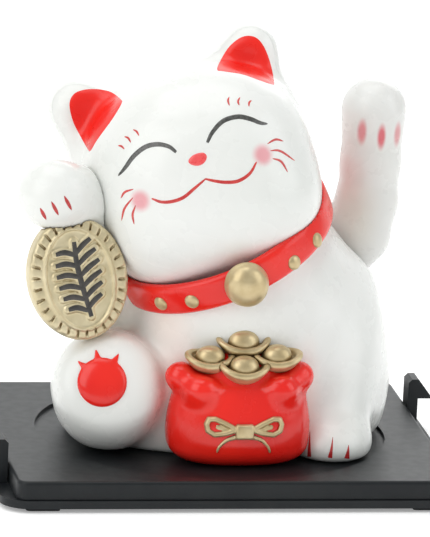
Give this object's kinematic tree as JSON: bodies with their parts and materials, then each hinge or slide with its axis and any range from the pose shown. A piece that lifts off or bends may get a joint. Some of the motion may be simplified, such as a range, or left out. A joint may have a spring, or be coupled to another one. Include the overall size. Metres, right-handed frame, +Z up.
{
  "type": "waving cat figurine",
  "caption": "Seated beckoning cat figurine with a swinging arm, a coin, a money bag with ingots and a flat black display base with hooks for a cover.",
  "frame": {"origin": "centre of the base, on the plane its feet rest on", "axes": "+Z up, the base and body face -Y, +X is the side of the waving arm; the head is turned towards +X by the tilt of its own frame"},
  "size_m": [0.1338, 0.1016, 0.1203],
  "materials": {
    "arm_white": "slightly translucent white, high gloss",
    "base_black": "charcoal black moulding, fine grain, satin",
    "board_green": "green circuit board",
    "cell_wrap": "plain printed sleeve",
    "chip_black": "black epoxy",
    "copper_wire": "enamelled copper winding",
    "gold_paint": "champagne gold paint, satin",
    "inner_plastic": "natural moulding, matte",
    "lead_black": "black wire sleeve",
    "lead_red": "red wire sleeve",
    "magnet_grey": "ferrite",
    "red_gloss": "bright red lacquer, high gloss",
    "sprung_metal": "nickel plated",
    "steel": "plain steel",
    "white_gloss": "cool white, high gloss, sprayed and clear-coated"
  },
  "bodies": {
    "cat": {"body_front_shell": "white_gloss", "body_rear_shell": "white_gloss", "head_front_shell": "white_gloss", "head_rear_shell": "white_gloss", "collar": "red_gloss", "collar_studs": "gold_paint", "bell": "gold_paint", "koban_coin": "gold_paint", "sole_pad": "red_gloss", "money_bag": "red_gloss", "gold_ingots": "gold_paint", "bag_bow": "gold_paint", "base_tray": "base_black", "base_platform": "base_black", "tray_screws": "steel", "body_screws": "steel", "frame_screws": "steel", "battery_box": "inner_plastic", "battery_cell": "cell_wrap", "contact_plate": "sprung_metal", "contact_spring_plate": "sprung_metal", "contact_spring": "sprung_metal", "lead_positive": "lead_red", "lead_negative": "lead_black", "circuit_board": "board_green", "coil_bobbin": "inner_plastic", "drive_coil": "copper_wire", "drive_chip": "chip_black", "capacitor": "steel", "switch_body": "chip_black", "pivot_frame": "inner_plastic"},
    "waving_arm": {"arm_front_shell": "arm_white", "arm_rear_shell": "arm_white", "arm_plug": "inner_plastic", "pendulum_lever": "inner_plastic", "pivot_pin": "steel", "magnet": "magnet_grey", "counterweight": "steel"},
    "door": {"battery_door": "base_black"},
    "knob": {"switch_knob": "chip_black"}
  },
  "joints": [
    {"name": "arm_swing", "type": "hinge", "parent": "cat", "child": "waving_arm", "pos_m": [0.0285, 0.018, 0.054], "axis": [1, 0, 0], "range_deg": [-18, 18]},
    {"name": "door_hinge", "type": "hinge", "parent": "cat", "child": "door", "pos_m": [0.004, -0.0081, 0.0023], "axis": [-1, 0, 0], "range_deg": [0, 80]},
    {"name": "switch_slide", "type": "slide", "parent": "cat", "child": "knob", "axis": [1, 0, 0], "range_m": [0, 0.003]}
  ]
}
